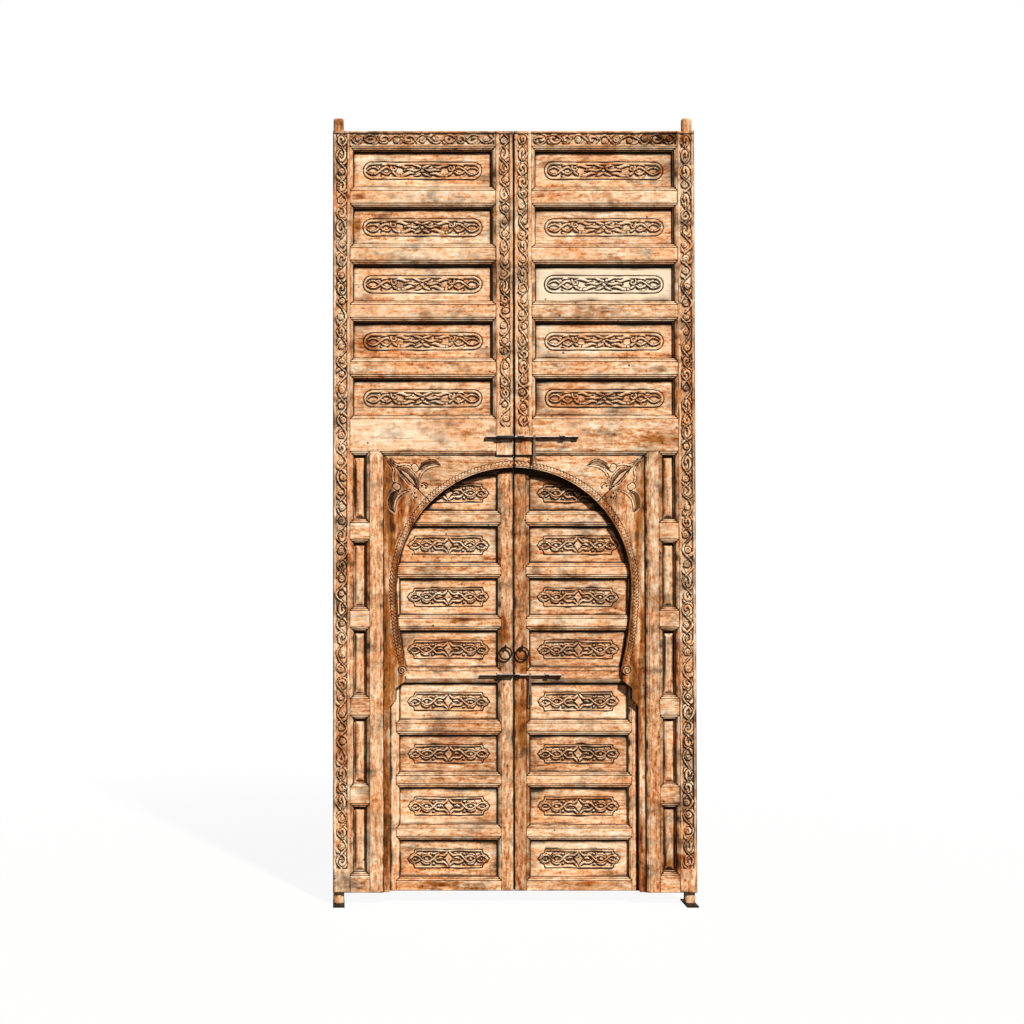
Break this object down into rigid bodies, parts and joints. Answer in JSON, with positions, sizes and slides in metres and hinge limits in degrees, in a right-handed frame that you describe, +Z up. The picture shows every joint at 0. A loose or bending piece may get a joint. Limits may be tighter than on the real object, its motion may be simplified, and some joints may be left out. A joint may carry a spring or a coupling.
{
  "type": "carved double door",
  "caption": "Tall carved cedar double door on pivot stiles, panelled above, with an arched doorway below closed by panelled wickets, sliding bolts and ring pulls.",
  "frame": {"origin": "on the floor, midway between the two pivot axes", "axes": "+Z up along the pivots, -Y towards the carved face, +X towards the right leaf seen from that face"},
  "size_m": [1.378, 0.13, 2.9973],
  "materials": {
    "cedar": "old dry cedar, unvarnished, dark in the carving",
    "iron": "forged, dull black"
  },
  "bodies": {
    "floor_pivots": {"left_floor_pivot": "iron", "right_floor_pivot": "iron"},
    "left_leaf": {"left_hanging_stile": "cedar", "left_meeting_stile": "cedar", "left_top_rail": "cedar", "left_upper_rails": "cedar", "left_lock_rail": "cedar", "left_upper_panel_1": "cedar", "left_upper_panel_2": "cedar", "left_upper_panel_3": "cedar", "left_upper_panel_4": "cedar", "left_upper_panel_5": "cedar", "left_jamb_post": "cedar", "left_side_rails": "cedar", "left_side_panels": "cedar", "left_arch_top_board": "cedar", "left_arch_side_board": "cedar", "left_hinge_pintles": "iron", "upper_keeper": "iron"},
    "left_wicket": {"left_wicket_hanging_stile": "cedar", "left_wicket_meeting_stile": "cedar", "left_wicket_top_rail": "cedar", "left_wicket_rails": "cedar", "left_wicket_bottom_rail": "cedar", "left_wicket_panels": "cedar", "left_hinge_straps": "iron", "left_ring_eye": "iron", "lower_keeper": "iron"},
    "left_pull": {"left_ring": "iron"},
    "right_leaf": {"right_hanging_stile": "cedar", "right_meeting_stile": "cedar", "right_top_rail": "cedar", "right_upper_rails": "cedar", "right_lock_rail": "cedar", "right_upper_panel_1": "cedar", "right_upper_panel_2": "cedar", "right_upper_panel_3": "cedar", "right_upper_panel_4": "cedar", "right_upper_panel_5": "cedar", "right_jamb_post": "cedar", "right_side_rails": "cedar", "right_side_panels": "cedar", "right_arch_top_board": "cedar", "right_arch_side_board": "cedar", "right_hinge_pintles": "iron", "upper_staples": "iron"},
    "right_wicket": {"right_wicket_hanging_stile": "cedar", "right_wicket_meeting_stile": "cedar", "right_wicket_top_rail": "cedar", "right_wicket_rails": "cedar", "right_wicket_bottom_rail": "cedar", "right_wicket_panels": "cedar", "right_hinge_straps": "iron", "right_ring_eye": "iron", "lower_staples": "iron"},
    "right_pull": {"right_ring": "iron"},
    "upper_bolt_body": {"upper_bolt": "iron"},
    "upper_hasp_body": {"upper_hasp": "iron"},
    "lower_bolt_body": {"lower_bolt": "iron"},
    "lower_hasp_body": {"lower_hasp": "iron"}
  },
  "joints": [
    {"name": "left_leaf_pivot", "type": "hinge", "parent": "floor_pivots", "child": "left_leaf", "pos_m": [-0.667, 0, 0.0503], "axis": [0, 0, 1], "range_deg": [0, 100]},
    {"name": "right_leaf_pivot", "type": "hinge", "parent": "floor_pivots", "child": "right_leaf", "pos_m": [0.667, 0, 0.0503], "axis": [0, 0, -1], "range_deg": [0, 100]},
    {"name": "left_wicket_hinge", "type": "hinge", "parent": "left_leaf", "child": "left_wicket", "pos_m": [-0.4935, 0.048, 0.8763], "axis": [0, 0, 1], "range_deg": [0, 100]},
    {"name": "right_wicket_hinge", "type": "hinge", "parent": "right_leaf", "child": "right_wicket", "pos_m": [0.4935, 0.048, 0.8763], "axis": [0, 0, -1], "range_deg": [0, 100]},
    {"name": "left_ring_swing", "type": "hinge", "parent": "left_wicket", "child": "left_pull", "pos_m": [-0.032, -0.0145, 0.97525], "axis": [-1, 0, 0], "range_deg": [0, 110]},
    {"name": "right_ring_swing", "type": "hinge", "parent": "right_wicket", "child": "right_pull", "pos_m": [0.032, -0.0145, 0.97525], "axis": [-1, 0, 0], "range_deg": [0, 110]},
    {"name": "upper_bolt_slide", "type": "slide", "parent": "right_leaf", "child": "upper_bolt_body", "axis": [-1, 0, 0], "range_m": [0, 0.03]},
    {"name": "upper_hasp_swing", "type": "hinge", "parent": "upper_bolt_body", "child": "upper_hasp_body", "pos_m": [0.0755, -0.0476, 1.7746], "axis": [-1, 0, 0], "range_deg": [0, 110]},
    {"name": "lower_bolt_slide", "type": "slide", "parent": "right_wicket", "child": "lower_bolt_body", "axis": [-1, 0, 0], "range_m": [0, 0.03]},
    {"name": "lower_hasp_swing", "type": "hinge", "parent": "lower_bolt_body", "child": "lower_hasp_body", "pos_m": [0.061, -0.011, 0.86855], "axis": [-1, 0, 0], "range_deg": [0, 110]}
  ]
}
